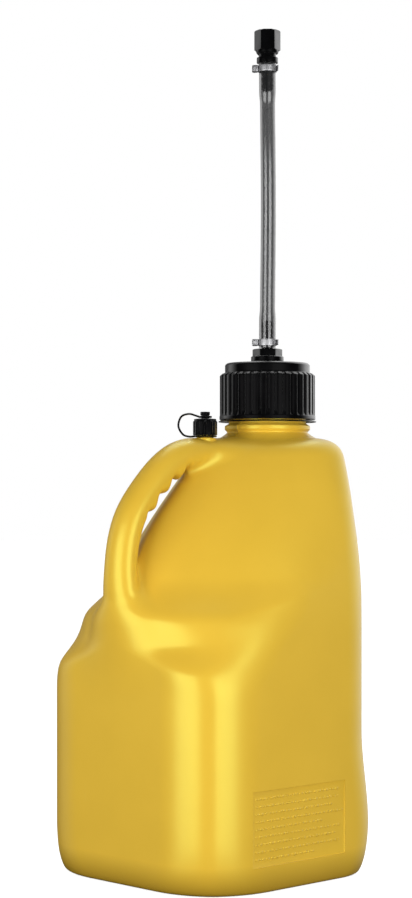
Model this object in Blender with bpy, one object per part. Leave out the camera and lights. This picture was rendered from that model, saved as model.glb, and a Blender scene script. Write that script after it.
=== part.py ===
"""Square utility jug with an integral handle, a ribbed screw cap, a filler hose and a vent.

The frame: the origin is on the ground under the middle of the square base, +Z is up, the
handle is at -X, the neck is at +X, and the two side faces are at -Y and +Y.
"""

import math

import bmesh
import bpy
import numpy as np
from mathutils import Matrix, Vector

MM = 0.001

# Jug body
HALF_SIDE = 133 * MM
WALL = 3 * MM
SHOULDER_TOP = 454 * MM
WAIST_Z = 277 * MM
SIDE_LEAN = math.radians(10.7)
FRONT_LEAN = math.radians(1)
CORNER_LEAN = math.radians(7.7)
CORNER_PIVOT_Z = 318 * MM
FRONT_CORNER = 156.4 * MM
FOOT_FLARE = 7.3 * MM
SLOPE_BACK = 0.632
SLOPE_SIDE = 0.501
SLOPE_UP = 0.591
SLOPE_REACH = 267.8 * MM
RIDGE_PINCH = 6 * MM
RIDGE_ROUND = 14 * MM
RIDGE_WIDTH = 13 * MM
EDGE_ROUND = 5 * MM
CORNER_ROUND = 16 * MM
BACK_CORNER_ROUND = 28 * MM
LEDGE_ROUND = 52 * MM
LEDGE_EDGE_ROUND = 14 * MM
HEAD_ROUND = 60 * MM
CROWN_ROUND = 22 * MM
CROWN_SHIFT = 60 * MM
BODY_SIDES = 48
CAVITY_SIDES = 30

# The flat across each back corner: at each height, where it meets the back face and the side face
LEDGE_ROWS = [
    (200, 101.3, 101.3),
    (211, 101.3, 96),
    (221, 97, 87),
    (230, 87, 79),
    (238, 76, 73),
    (248, 69, 64),
    (262, 68, 51),
    (273, 66, 41),
    (282, 48, 30),
    (295, 42, 26),
]

# The handle's middle line: x, z, half the thickness across the grip and half the width along Y
HANDLE_ROWS = [
    (18, 431, 15, 26),
    (-12, 437, 14.5, 19),
    (-43, 434.5, 15.5, 18.5),
    (-69, 421, 15.5, 18.5),
    (-95, 397, 15, 18.5),
    (-114, 373, 14.5, 18.5),
    (-124, 347, 14.5, 18.5),
    (-128, 318, 14.5, 19),
    (-127, 292, 15, 22),
    (-122, 268, 14.5, 27),
    (-115, 240, 13, 31),
    (-108, 215, 10, 33),
]

# Panel recess on the side face
PANEL_SIZE = (133 * MM, 75 * MM)
PANEL_MIDDLE = (-5.5 * MM, 64 * MM)
PANEL_DEPTH = 0.8 * MM

# Neck and its screw thread
NECK_X = 83 * MM
NECK_BORE = 38.5 * MM
NECK_RADIUS = 43 * MM
THREAD_DEPTH = 2.6 * MM
THREAD_PITCH = 6 * MM

# Screw cap
CAP_BOTTOM = 473.6 * MM
CAP_RIB_RADIUS = 51.4 * MM
CAP_GROOVE_RADIUS = 49.8 * MM
CAP_RIBS = 36

# Retaining ring's eye
RING_EYE_X = 17 * MM

# Hose, its fittings and its clamps
STEM_BORE = 4.2 * MM
BARB_RADIUS = 6.6 * MM
BARB_ROOT = 5.5 * MM
BARB_PITCH = 7 * MM
HOSE_BOTTOM = 551 * MM
HOSE_TOP = 857.5 * MM
HOSE_RADIUS = 8.25 * MM
HOSE_BORE = 5.9 * MM
HOSE_END_RADIUS = 9.1 * MM
HOSE_END_BORE = 6.9 * MM
HOSE_GRIP = 36 * MM
CLAMP_WIDTH = 7 * MM
CLAMP_SIDE = math.radians(136)
LOWER_CLAMP_Z = 557 * MM
UPPER_CLAMP_Z = 852 * MM
SCREW_OUT = 13.6 * MM
END_CAP_BOTTOM = 868.3 * MM
HEXAGON_TURN = math.radians(16)

# Vent
VENT_X = -10 * MM
VENT_BORE = 4.5 * MM
VENT_PITCH = 3 * MM
VENT_CAP_BOTTOM = 455.4 * MM


# ---------------------------------------------------------------- scene and materials

def clear_scene():
    for obj in list(bpy.data.objects):
        bpy.data.objects.remove(obj, do_unlink=True)


def material(name, colour, roughness, metallic=0.0, alpha=1.0):
    made = bpy.data.materials.new(name)
    made.use_nodes = True
    shader = made.node_tree.nodes["Principled BSDF"]
    shader.inputs["Base Color"].default_value = (*colour, 1)
    shader.inputs["Roughness"].default_value = roughness
    shader.inputs["Metallic"].default_value = metallic
    shader.inputs["Alpha"].default_value = alpha
    return made


def object_from(name, bm, finish=None, sharp=35):
    bmesh.ops.recalc_face_normals(bm, faces=bm.faces)
    mesh = bpy.data.meshes.new(name)
    bm.to_mesh(mesh)
    bm.free()
    mesh.shade_smooth()
    mesh.set_sharp_from_angle(angle=math.radians(sharp))
    made = bpy.data.objects.new(name, mesh)
    bpy.context.collection.objects.link(made)
    if finish:
        mesh.materials.append(finish)
    return made


def helper(obj):
    obj.hide_render = True
    obj.display_type = "WIRE"
    return obj


def boolean(target, other, operation):
    cut = target.modifiers.new(operation.lower(), "BOOLEAN")
    cut.operation = operation
    cut.solver = "EXACT"
    cut.object = helper(other)


def join(target, *others):
    for other in others:
        boolean(target, other, "UNION")


def cut(target, *others):
    for other in others:
        boolean(target, other, "DIFFERENCE")


def origin_at(obj, point):
    """Moves the object's origin to a point and leaves its mesh where it was."""
    obj.data.transform(Matrix.Translation(-Vector(point)))
    obj.location = point


# ---------------------------------------------------------------- shape tools

def grid_of_rings(bm, rings, closed=False, caps=True):
    """Joins rings of points, each with the same count, into one skin."""
    made = [[bm.verts.new(point) for point in ring] for ring in rings]
    count = len(made[0])
    pairs = list(zip(made, made[1:] + made[:1])) if closed else list(zip(made, made[1:]))
    for low, high in pairs:
        for i in range(count):
            j = (i + 1) % count
            bm.faces.new((low[i], low[j], high[j], high[i]))
    if caps and not closed:
        bm.faces.new(made[0][::-1])
        bm.faces.new(made[-1])


def lathe(name, profile, centre_x, segments=48, finish=None, radius_at=None, open_bore=True):
    """Turns a profile of (radius, height) about a vertical axis.

    With open_bore the profile is a closed loop round a ring's wall. Without it the profile
    runs from the bottom face to the top face of a solid.
    """
    bm = bmesh.new()
    rings = []
    for radius, height in profile:
        ring = []
        for i in range(segments):
            angle = 2 * math.pi * i / segments
            r = radius_at(radius, i) if radius_at else radius
            ring.append((centre_x + r * math.cos(angle), r * math.sin(angle), height))
        rings.append(ring)
    grid_of_rings(bm, rings, closed=open_bore)
    return object_from(name, bm, finish)


def prism(bm, radius, sides, low, high, centre_x, turn=0.0):
    rings = []
    for height in (low, high):
        angles = [turn + 2 * math.pi * i / sides for i in range(sides)]
        rings.append([(centre_x + radius * math.cos(a), radius * math.sin(a), height) for a in angles])
    grid_of_rings(bm, rings)


def hexagon(name, across_corners, low, high, centre_x, chamfer=1.2 * MM):
    """A hexagonal nut body whose end corners are turned off."""
    bm = bmesh.new()
    prism(bm, across_corners / 2, 6, low, high, centre_x, HEXAGON_TURN)
    nut = object_from(name, bm)
    flat = across_corners / 2 * math.cos(math.pi / 6)
    outer = across_corners / 2 + chamfer
    profile = [
        (flat - chamfer / 2, low - chamfer / 2),
        (outer, low + chamfer),
        (outer, high - chamfer),
        (flat - chamfer / 2, high + chamfer / 2),
    ]
    turned = lathe(name + "_turned", profile, centre_x, 30, open_bore=False)
    boolean(nut, turned, "INTERSECT")
    return nut


def block(name, size, place, turn=0.0, bevel=0.0, finish=None):
    """A box with its own size, placed and turned about the vertical."""
    bm = bmesh.new()
    bmesh.ops.create_cube(bm, size=1)
    bmesh.ops.scale(bm, vec=size, verts=bm.verts)
    if bevel:
        bmesh.ops.bevel(bm, geom=bm.edges[:], offset=bevel, segments=2, profile=0.5, affect="EDGES")
    matrix = Matrix.Translation(place) @ Matrix.Rotation(turn, 4, "Z")
    bmesh.ops.transform(bm, matrix=matrix, verts=bm.verts)
    return object_from(name, bm, finish)


def rod(name, radius, start, end, sides=16, finish=None):
    bm = bmesh.new()
    along = Vector(end) - Vector(start)
    turn = along.to_track_quat("Z", "Y").to_matrix().to_4x4()
    middle = Matrix.Translation((Vector(start) + Vector(end)) / 2)
    bmesh.ops.create_cone(
        bm, cap_ends=True, segments=sides, radius1=radius, radius2=radius, depth=along.length,
        matrix=middle @ turn)
    return object_from(name, bm, finish)


def helix(name, inner, outer, low, high, pitch, centre_x, root, crest, segments=20):
    """A screw thread's ridge: its section is wide at radius inner and narrow at radius outer."""
    bm = bmesh.new()
    steps = round((high - low) / pitch * segments)
    rings = []
    for i in range(steps + 1):
        angle = 2 * math.pi * i / segments
        height = low + pitch * i / segments
        fade = min(1, 0.15 + i / 4, 0.15 + (steps - i) / 4)
        tip = inner + (outer - inner) * fade
        ring = []
        for r, z in ((inner, -root), (tip, -crest), (tip, crest), (inner, root)):
            ring.append((centre_x + r * math.cos(angle), r * math.sin(angle), height + z))
        rings.append(ring)
    grid_of_rings(bm, rings)
    return object_from(name, bm)


def smooth_path(points, steps):
    """A Catmull-Rom curve through the points, as rows of numpy values."""
    rows = np.array(points, float)
    rows = np.vstack([2 * rows[0] - rows[1], rows, 2 * rows[-1] - rows[-2]])
    path = []
    for i in range(1, len(rows) - 2):
        for j in range(steps):
            t = j / steps
            a, b, c, d = rows[i - 1:i + 3]
            path.append(0.5 * (2 * b + (c - a) * t + (2 * a - 5 * b + 4 * c - d) * t**2
                               + (3 * b - a - 3 * c + d) * t**3))
    path.append(rows[-2])
    return np.array(path)


# ---------------------------------------------------------------- the jug's skin

def smooth_max(a, b, width):
    """The larger of two fields, with the edge between them rounded over a width."""
    over = np.maximum(width - np.abs(a - b), 0) / width
    return np.maximum(a, b) + over**2 * width / 4


def ease(value, low, high):
    t = np.clip((value - low) / (high - low), 0, 1)
    return t * t * (3 - 2 * t)


def corner_cut(x, side, z):
    """The flat across a back corner: a slanted face that steps in at the ledge."""
    rows = np.array(LEDGE_ROWS) * MM
    on_back = np.interp(z, rows[:, 0], rows[:, 1])
    on_side = np.interp(z, rows[:, 0], rows[:, 2])
    across = HALF_SIDE - on_back
    along = HALF_SIDE - on_side
    return (along * (side - on_back) - across * (x + HALF_SIDE)) / np.hypot(across, along)


def base_curve(z, inset, height):
    """How far a wall curves in towards the ground."""
    down = np.clip(1 - z / height, 0, 1)
    return inset * (1 - np.sqrt(1 - down**2))


def skin_field(x, y, z):
    """Below zero inside the jug's body, without its neck and handle, and zero on its skin."""
    side = np.abs(y)
    upright = side - HALF_SIDE
    leaning = upright * math.cos(SIDE_LEAN) + (z - WAIST_Z) * math.sin(SIDE_LEAN)
    sides = smooth_max(upright, leaning, EDGE_ROUND) + base_curve(z, 3.5 * MM, 28 * MM)
    front = (x - HALF_SIDE) * math.cos(FRONT_LEAN) + base_curve(z, 5 * MM, 22 * MM)
    front = front + np.maximum(z - WAIST_Z, 0) * math.sin(FRONT_LEAN)
    back = -x - HALF_SIDE + base_curve(z, 7.5 * MM, 28 * MM)
    corner_foot = base_curve(z, 14.5 * MM, 55 * MM)
    flare = FOOT_FLARE * (1 - ease(z, 50 * MM, 150 * MM)) - corner_foot
    corner = (x + side) * math.sqrt(0.5) - FRONT_CORNER
    corner_lean = corner * math.cos(CORNER_LEAN) + (z - CORNER_PIVOT_Z) * math.sin(CORNER_LEAN)
    front_corner = smooth_max(corner, corner_lean, EDGE_ROUND) - flare
    round_side = np.sqrt(side**2 + RIDGE_ROUND**2) - RIDGE_ROUND
    pinch = RIDGE_PINCH * ease(z, 265 * MM, 330 * MM) * (1 - np.exp(-round_side / RIDGE_WIDTH))
    slope = SLOPE_BACK * -x + SLOPE_SIDE * round_side + pinch + SLOPE_UP * z - SLOPE_REACH
    field = smooth_max(sides, front_corner, CORNER_ROUND)
    field = smooth_max(field, front, CORNER_ROUND)
    field = smooth_max(field, corner_cut(x, side, z) + corner_foot, BACK_CORNER_ROUND)
    back_round = BACK_CORNER_ROUND + (LEDGE_ROUND - BACK_CORNER_ROUND) * ease(z, 215 * MM, 245 * MM)
    field = smooth_max(field, back, back_round)
    slope_round = LEDGE_EDGE_ROUND + (HEAD_ROUND - LEDGE_EDGE_ROUND) * ease(z, 266 * MM, 310 * MM)
    field = smooth_max(field, slope, slope_round)
    return smooth_max(field, z - SHOULDER_TOP, CROWN_ROUND)


def section_centre(z):
    """The jug's sections shift forward as its back slopes in."""
    return CROWN_SHIFT * ease(z, WAIST_Z, 440 * MM)


def skin_heights(inset):
    low, high = inset, SHOULDER_TOP - inset
    foot = [low, low + 1 * MM, low + 5 * MM, low + 13 * MM, 28 * MM, 55 * MM, 100 * MM, 150 * MM]
    ledge = [h * MM for h in (200, 211, 221, 230, 239, 248, 257, 266, 275, 284, 296)]
    top = [h * MM for h in (325, 365, 405, 425)]
    crown = [high - d for d in (14 * MM, 6 * MM, 1.5 * MM, 0)]
    return foot + ledge + top + crown


def skin_rings(inset, sides):
    """Rings of points on the skin, or that far inside it, found by halving along each ray."""
    angles = 2 * math.pi * (np.arange(sides) + 0.5) / sides
    rings = []
    for height in skin_heights(inset):
        middle = section_centre(height)
        near = np.zeros(sides)
        far = np.full(sides, 260 * MM)
        for _ in range(40):
            reach = (near + far) / 2
            x = middle + reach * np.cos(angles)
            y = reach * np.sin(angles)
            inside = skin_field(x, y, height) < -inset * 0.999
            near = np.where(inside, reach, near)
            far = np.where(inside, far, reach)
        x = middle + near * np.cos(angles)
        y = near * np.sin(angles)
        rings.append([(a, b, height) for a, b in zip(x, y)])
    return rings


def skin(name, inset, sides, finish=None):
    bm = bmesh.new()
    grid_of_rings(bm, skin_rings(inset, sides))
    return object_from(name, bm, finish)


def handle(name, inset, sides):
    """The grip from its root behind the neck to its foot inside the back wall, or its hollow."""
    bm = bmesh.new()
    path = smooth_path(np.array(HANDLE_ROWS) * MM, 2)
    along = np.gradient(path[:, :2], axis=0)
    along /= np.linalg.norm(along, axis=1)[:, None]
    rings = []
    for (x, z, thick, wide), (dx, dz) in zip(path, along):
        ring = []
        for i in range(sides):
            angle = 2 * math.pi * (i + 0.5) / sides
            out = (thick - inset) * math.cos(angle)
            across = (wide - inset) * math.sin(angle)
            ring.append((x + out * dz, across, z - out * dx))
        rings.append(ring)
    grid_of_rings(bm, rings)
    return object_from(name, bm)


def neck():
    profile = [(r * MM, z * MM) for r, z in (
        (50.5, 446), (49.5, 453.3), (45.6, 456.5), (43.6, 460), (46, 463.5),
        (46, 466.5), (43, 469.5), (43, 515), (42, 516.5), (42, 526))]
    solid = lathe("neck_shape", profile, NECK_X, 36, open_bore=False)
    ridge = helix(
        "neck_thread", NECK_RADIUS - 0.6 * MM, NECK_RADIUS + THREAD_DEPTH, 482 * MM, 497 * MM,
        THREAD_PITCH, NECK_X, 1.9 * MM, 0.8 * MM)
    join(solid, ridge)
    return solid


def vent_neck():
    profile = [(r * MM, z * MM) for r, z in (
        (11.5, 440), (11.5, 452.3), (9.2, 453), (7.6, 455), (7.6, 470))]
    solid = lathe("vent_neck_shape", profile, VENT_X, 32, open_bore=False)
    ridge = helix(
        "vent_thread", 7.1 * MM, 8.7 * MM, 457.5 * MM, 462.5 * MM, VENT_PITCH, VENT_X,
        0.9 * MM, 0.4 * MM, 16)
    join(solid, ridge)
    return solid


def jug(finish):
    """The blow-moulded jug: skin, handle, necks, and the hollow that they share."""
    body = skin("container_body", 0, BODY_SIDES, finish)
    join(body, handle("handle_shape", 0, 16), neck(), vent_neck())
    cutter = 4 * MM
    place = (PANEL_MIDDLE[0], PANEL_DEPTH - HALF_SIDE - cutter / 2, PANEL_MIDDLE[1])
    panel = block("panel_recess", (PANEL_SIZE[0], cutter, PANEL_SIZE[1]), place)
    hollow = skin("hollow_shape", WALL, CAVITY_SIDES)
    inner_handle = handle("hollow_handle_shape", WALL, 10)
    bore_profile = [(NECK_BORE, 440 * MM), (NECK_BORE, 530 * MM)]
    vent_profile = [(VENT_BORE, 430 * MM), (VENT_BORE, 474 * MM)]
    bore = lathe("neck_bore_shape", bore_profile, NECK_X, 36, open_bore=False)
    vent_bore = lathe("vent_bore_shape", vent_profile, VENT_X, 20, open_bore=False)
    join(hollow, inner_handle)
    cut(body, panel, hollow, bore, vent_bore)
    return body


# ---------------------------------------------------------------- screw cap and its seals

def screw_cap(finish):
    """The cap: ribbed skirt, smooth upper band, closed top and a thread inside."""
    def ribbed(radius, index):
        on_groove = index % 2 and CAP_GROOVE_RADIUS < radius <= CAP_RIB_RADIUS
        return CAP_GROOVE_RADIUS if on_groove else radius

    profile = [(46.6 * MM, CAP_BOTTOM), (51.7 * MM, CAP_BOTTOM), (51.7 * MM, 477.3 * MM)]
    profile += [(CAP_RIB_RADIUS, 479 * MM), (CAP_RIB_RADIUS, 520.5 * MM)]
    profile += [(r * MM, z * MM) for r, z in (
        (49.6, 523), (45.7, 523.4), (45.7, 532), (43.5, 534.5), (8.6, 534.5),
        (8.6, 530.5), (42.7, 530.5), (42.7, 516.5), (46.6, 515))]
    cap = lathe("screw_cap", profile, NECK_X, 2 * CAP_RIBS, finish, ribbed)
    ridge = helix(
        "cap_thread", 47.2 * MM, 44 * MM, 485 * MM, 497 * MM, THREAD_PITCH, NECK_X,
        1.6 * MM, 0.8 * MM)
    join(cap, ridge)
    return cap


def flat_ring(name, inner, outer, low, high, centre_x, segments, finish):
    profile = [(inner, low), (outer, low), (outer, high), (inner, high)]
    return lathe(name, profile, centre_x, segments, finish)


def retaining_ring(finish):
    """The loose ring under the cap, with the lug that reaches for the vent."""
    ring = flat_ring(
        "retaining_ring", 44.8 * MM, 52.6 * MM, 470.7 * MM, 473 * MM, NECK_X, 48, finish)
    lug = block("retaining_lug", (15 * MM, 4 * MM, 1.8 * MM), (25 * MM, 0, 471.9 * MM))
    eye_profile = [(3.4 * MM, 471 * MM), (3.4 * MM, 472.8 * MM)]
    eye = lathe("retaining_eye", eye_profile, RING_EYE_X, 16, open_bore=False)
    hole_profile = [(1.6 * MM, 469 * MM), (1.6 * MM, 475 * MM)]
    hole = lathe("retaining_eye_hole", hole_profile, RING_EYE_X, 12, open_bore=False)
    join(ring, lug, eye)
    cut(ring, hole)
    return ring


# ---------------------------------------------------------------- hose and fittings

def barbs(start, count, upwards=True):
    """The saw-tooth outline of a hose barb, from its root end to its free end."""
    way = 1 if upwards else -1
    outline = []
    for i in range(count):
        foot = start + way * i * BARB_PITCH
        outline += [(BARB_ROOT, foot), (BARB_RADIUS, foot + way * 1 * MM)]
        outline += [(BARB_ROOT, foot + way * 6 * MM)]
    return outline


def hose_adapter(finish):
    """The fitting through the cap's top: stem, flange, hexagon and hose barb, with one bore."""
    barb = barbs(552 * MM, 4)
    tip = barb[-1][1] + 1.5 * MM
    profile = [(8 * MM, 521 * MM), (8 * MM, 536.2 * MM)]
    profile += [(17.6 * MM, 536.2 * MM), (17.6 * MM, 541.3 * MM)]
    profile += [(16.6 * MM, 542.2 * MM), (8.6 * MM, 542.2 * MM)]
    profile += [(8.6 * MM, 549.6 * MM), (6 * MM, 550.4 * MM)]
    profile += barb + [(STEM_BORE + 0.6 * MM, tip), (STEM_BORE, tip), (STEM_BORE, 521 * MM)]
    fitting = lathe("hose_adapter", profile, NECK_X, 20, finish)
    nut = hexagon("adapter_hexagon", 32.4 * MM, 541 * MM, 549.8 * MM, NECK_X)
    core_profile = [(7 * MM, 530 * MM), (7 * MM, 555 * MM)]
    core = lathe("adapter_core", core_profile, NECK_X, 20, open_bore=False)
    cut(nut, core)
    join(fitting, nut)
    return fitting


def lock_nut(finish):
    nut = hexagon("adapter_lock_nut", 28 * MM, 523.5 * MM, 530.1 * MM, NECK_X)
    nut.data.materials.append(finish)
    hole_profile = [(8.3 * MM, 515 * MM), (8.3 * MM, 540 * MM)]
    hole = lathe("lock_nut_hole", hole_profile, NECK_X, 24, open_bore=False)
    cut(nut, hole)
    return nut


def filler_hose(finish):
    """Clear tube that is stretched where it sits over the barbs at both ends."""
    low, high = HOSE_BOTTOM, HOSE_TOP
    outside = [
        (HOSE_END_RADIUS, low), (HOSE_END_RADIUS, low + HOSE_GRIP - 4 * MM),
        (HOSE_RADIUS, low + HOSE_GRIP + 4 * MM), (HOSE_RADIUS, (low + high) / 2),
        (HOSE_RADIUS, high - HOSE_GRIP - 4 * MM), (HOSE_END_RADIUS, high - HOSE_GRIP + 4 * MM),
        (HOSE_END_RADIUS, high)]
    inside = [
        (HOSE_END_BORE, high), (HOSE_END_BORE, high - HOSE_GRIP + 4 * MM),
        (HOSE_BORE, high - HOSE_GRIP - 4 * MM), (HOSE_BORE, low + HOSE_GRIP + 4 * MM),
        (HOSE_END_BORE, low + HOSE_GRIP - 4 * MM), (HOSE_END_BORE, low)]
    return lathe("hose", outside + inside, NECK_X, 24, finish)


def tip_fitting(finish):
    """Barb, collar and threaded spout at the hose's free end, with one bore."""
    barb = barbs(856.5 * MM, 4, upwards=False)[::-1]
    end = barb[0][1] - 1.5 * MM
    profile = [(STEM_BORE, end), (STEM_BORE + 0.6 * MM, end)] + barb
    profile += [(r * MM, z * MM) for r, z in (
        (5.5, 858), (11.5, 858), (11.5, 863.6), (9.4, 864.4), (9.4, 884.4), (8.6, 885.2))]
    profile += [(STEM_BORE, 885.2 * MM)]
    fitting = lathe("hose_tip_fitting", profile, NECK_X, 20, finish)
    ridge = helix(
        "tip_thread", 9 * MM, 10.5 * MM, 873 * MM, 879 * MM, VENT_PITCH, NECK_X, 0.9 * MM, 0.4 * MM, 16)
    join(fitting, ridge)
    return fitting


def hose_end_cap(finish):
    """Hexagonal cap nut, turned to a cone under the hexagon, with a thread inside."""
    cap = hexagon("hose_end_cap", 28.6 * MM, 871.4 * MM, 892.6 * MM, NECK_X, 2 * MM)
    cap.data.materials.append(finish)
    skirt_profile = [(11.5 * MM, END_CAP_BOTTOM), (12.3 * MM, 870.4 * MM), (12.3 * MM, 873 * MM)]
    skirt = lathe("end_cap_skirt", skirt_profile, NECK_X, 24, open_bore=False)
    hole_profile = [(10.9 * MM, 860 * MM), (10.9 * MM, 888 * MM)]
    hole = lathe("end_cap_hole", hole_profile, NECK_X, 24, open_bore=False)
    ridge = helix(
        "end_cap_thread", 11.3 * MM, 9.9 * MM, 874.5 * MM, 880.5 * MM, VENT_PITCH, NECK_X,
        0.8 * MM, 0.4 * MM, 16)
    join(cap, skirt)
    cut(cap, hole)
    join(cap, ridge)
    return cap


# ---------------------------------------------------------------- worm-drive hose clamps

def clamp_place(height, out, along=0.0):
    """A point at a distance out from the hose's axis on the screw's side, and along the screw."""
    c, s = math.cos(CLAMP_SIDE), math.sin(CLAMP_SIDE)
    return (NECK_X + out * c - along * s, out * s + along * c, height)


def clamp_band(name, height, finish):
    half = CLAMP_WIDTH / 2
    band = flat_ring(name, 9.4 * MM, 10.1 * MM, height - half, height + half, NECK_X, 32, finish)
    tail = block(
        name + "_tail", (8 * MM, 0.7 * MM, CLAMP_WIDTH - 1 * MM),
        clamp_place(height, -10.6 * MM, 3.7 * MM), CLAMP_SIDE + math.radians(102))
    join(band, tail)
    return band


def clamp_housing(name, height, finish):
    """The saddle that holds the worm screw against the band."""
    saddle = block(
        name, (6.6 * MM, 8 * MM, 7.4 * MM), clamp_place(height, 13.2 * MM), CLAMP_SIDE, 1 * MM, finish)
    band_room = lathe(
        name + "_band_room", [(10.45 * MM, height - 9 * MM), (10.45 * MM, height + 9 * MM)], NECK_X, 48,
        open_bore=False)
    screw_room = rod(
        name + "_screw_room", 2.5 * MM, clamp_place(height, SCREW_OUT, -12 * MM),
        clamp_place(height, SCREW_OUT, 12 * MM))
    cut(saddle, band_room, screw_room)
    return saddle


def clamp_screw(name, height, finish):
    """Worm screw with a slotted hexagonal head, turning in the housing."""
    screw = rod(
        name, 2.15 * MM, clamp_place(height, SCREW_OUT, -5.6 * MM), clamp_place(height, SCREW_OUT, 5 * MM),
        12, finish)
    head = rod(
        name + "_head", 3.1 * MM, clamp_place(height, SCREW_OUT, -8 * MM),
        clamp_place(height, SCREW_OUT, -4.6 * MM), 6)
    slot = block(
        name + "_slot", (0.9 * MM, 2 * MM, 8 * MM), clamp_place(height, SCREW_OUT, -8 * MM), CLAMP_SIDE)
    join(screw, head)
    cut(screw, slot)
    return screw


# ---------------------------------------------------------------- vent

def vent_cap(finish):
    """Small ribbed screw cap with side tabs and a knob that carries the tether."""
    def ribbed(radius, index):
        return radius - 0.6 * MM if index % 2 and radius > 12.6 * MM else radius

    profile = [(r * MM, z * MM) for r, z in (
        (9.3, 455.4), (12.7, 455.4), (12.7, 469.5), (11.6, 470.7), (11.6, 472.3),
        (4, 473.1), (4, 475.9), (5, 476.5), (5, 479.8), (1.4, 480))]
    top = [(0.6 * MM, 480 * MM), (0.6 * MM, 471.1 * MM), (9.3 * MM, 471.1 * MM)]
    cap = lathe("vent_cap", profile + top, VENT_X, 28, finish, ribbed)
    ridge = helix(
        "vent_cap_thread", 9.7 * MM, 8.1 * MM, 459 * MM, 463.5 * MM, VENT_PITCH, VENT_X,
        0.8 * MM, 0.4 * MM, 16)
    tabs = block("vent_cap_tabs", (3 * MM, 28.6 * MM, 4 * MM), (VENT_X, 0, 468 * MM), math.radians(-44))
    core_profile = [(11 * MM, 455 * MM), (11 * MM, 474 * MM)]
    core = lathe("vent_cap_core", core_profile, VENT_X, 24, open_bore=False)
    cut(tabs, core)
    join(cap, ridge, tabs)
    return cap


def vent_tether(finish):
    """Strap that ties the vent cap to its neck: a ring at each end and a loop between."""
    lower = flat_ring("vent_tether", 9.7 * MM, 12.2 * MM, 453.3 * MM, 455 * MM, VENT_X, 32, finish)
    upper = flat_ring("tether_upper_ring", 4.5 * MM, 7 * MM, 473.5 * MM, 475.5 * MM, VENT_X, 24, finish)
    side = math.radians(136)
    rows = [(11, 454.2), (17, 454), (23.5, 456.5), (28, 465)]
    rows += [(25, 474.7), (17, 477.7), (10, 476), (5.7, 474.5)]
    path = smooth_path(np.array(rows) * MM, 3)
    along = np.gradient(path, axis=0)
    along /= np.linalg.norm(along, axis=1)[:, None]
    bm = bmesh.new()
    rings = []
    for (out, height), (d_out, d_up) in zip(path, along):
        ring = []
        for thick, wide in ((-1.1, -1.9), (1.1, -1.9), (1.1, 1.9), (-1.1, 1.9)):
            r = out - thick * MM * d_up
            z = height + thick * MM * d_out
            across = wide * MM
            ring.append((VENT_X + r * math.cos(side) - across * math.sin(side),
                         r * math.sin(side) + across * math.cos(side), z))
        rings.append(ring)
    grid_of_rings(bm, rings)
    strap = object_from("tether_strap", bm)
    join(lower, upper, strap)
    return lower


# ---------------------------------------------------------------- assembly

def build():
    clear_scene()
    yellow = material("yellow_polyethylene", (0.78, 0.50, 0.05), 0.3)
    black = material("black_nylon", (0.012, 0.012, 0.013), 0.35)
    rubber = material("black_rubber", (0.02, 0.02, 0.02), 0.7)
    steel = material("zinc_steel", (0.45, 0.45, 0.46), 0.3, 1.0)
    vinyl = material("clear_vinyl", (0.8, 0.82, 0.82), 0.15, 0.0, 0.4)
    jug(yellow)
    flat_ring("cap_gasket", 38.9 * MM, 42.2 * MM, 526.4 * MM, 530.1 * MM, NECK_X, 48, rubber)
    retaining_ring(black)
    cap = screw_cap(black)
    flat_ring("adapter_gasket", 8.4 * MM, 14 * MM, 534.8 * MM, 535.9 * MM, NECK_X, 32, rubber)
    hose_adapter(black)
    lock_nut(black)
    filler_hose(vinyl)
    tip_fitting(black)
    end_cap = hose_end_cap(black)
    flat_ring("end_cap_seal", 3 * MM, 10.5 * MM, 885.6 * MM, 887.7 * MM, NECK_X, 24, rubber)
    for end, height in (("lower", LOWER_CLAMP_Z), ("upper", UPPER_CLAMP_Z)):
        clamp_band(end + "_clamp_band", height, steel)
        clamp_housing(end + "_clamp_housing", height, steel)
        screw = clamp_screw(end + "_clamp_screw", height, steel)
        origin_at(screw, clamp_place(height, SCREW_OUT))
    lid = vent_cap(black)
    flat_ring("vent_cap_gasket", 4.8 * MM, 9 * MM, 470.3 * MM, 470.8 * MM, VENT_X, 24, rubber)
    vent_tether(black)
    origin_at(cap, (NECK_X, 0, CAP_BOTTOM))
    origin_at(end_cap, (NECK_X, 0, END_CAP_BOTTOM))
    origin_at(lid, (VENT_X, 0, VENT_CAP_BOTTOM))


build()
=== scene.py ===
"""The looks of the utility jug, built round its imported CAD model.

The frame: the origin is on the ground under the middle of the square base, +Z is up, the
handle is at -X, the neck is at +X, and the two side faces are at -Y and +Y.
"""

import math

import bmesh
import bpy
import numpy as np
from mathutils import Matrix, Vector

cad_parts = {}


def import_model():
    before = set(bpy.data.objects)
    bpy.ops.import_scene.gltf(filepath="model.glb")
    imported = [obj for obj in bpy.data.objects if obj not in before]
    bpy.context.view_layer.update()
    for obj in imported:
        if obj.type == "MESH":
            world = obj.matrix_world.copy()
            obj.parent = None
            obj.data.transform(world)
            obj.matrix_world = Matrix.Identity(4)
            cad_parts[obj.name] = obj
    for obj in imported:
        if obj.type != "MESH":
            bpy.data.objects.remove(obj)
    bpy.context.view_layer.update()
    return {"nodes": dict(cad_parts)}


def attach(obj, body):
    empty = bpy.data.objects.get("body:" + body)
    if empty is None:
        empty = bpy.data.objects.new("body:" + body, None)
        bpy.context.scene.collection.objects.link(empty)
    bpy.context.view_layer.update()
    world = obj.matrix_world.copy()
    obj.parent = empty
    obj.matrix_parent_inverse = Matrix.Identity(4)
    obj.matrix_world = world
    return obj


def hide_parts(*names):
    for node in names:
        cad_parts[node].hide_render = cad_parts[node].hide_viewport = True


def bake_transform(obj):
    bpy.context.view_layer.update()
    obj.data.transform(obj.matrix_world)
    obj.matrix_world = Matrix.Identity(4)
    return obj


MM = 0.001

# Detail of the moulded body's mesh
SKIN_STEP = 2 * MM
HOLLOW_STEP = 5 * MM

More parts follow.
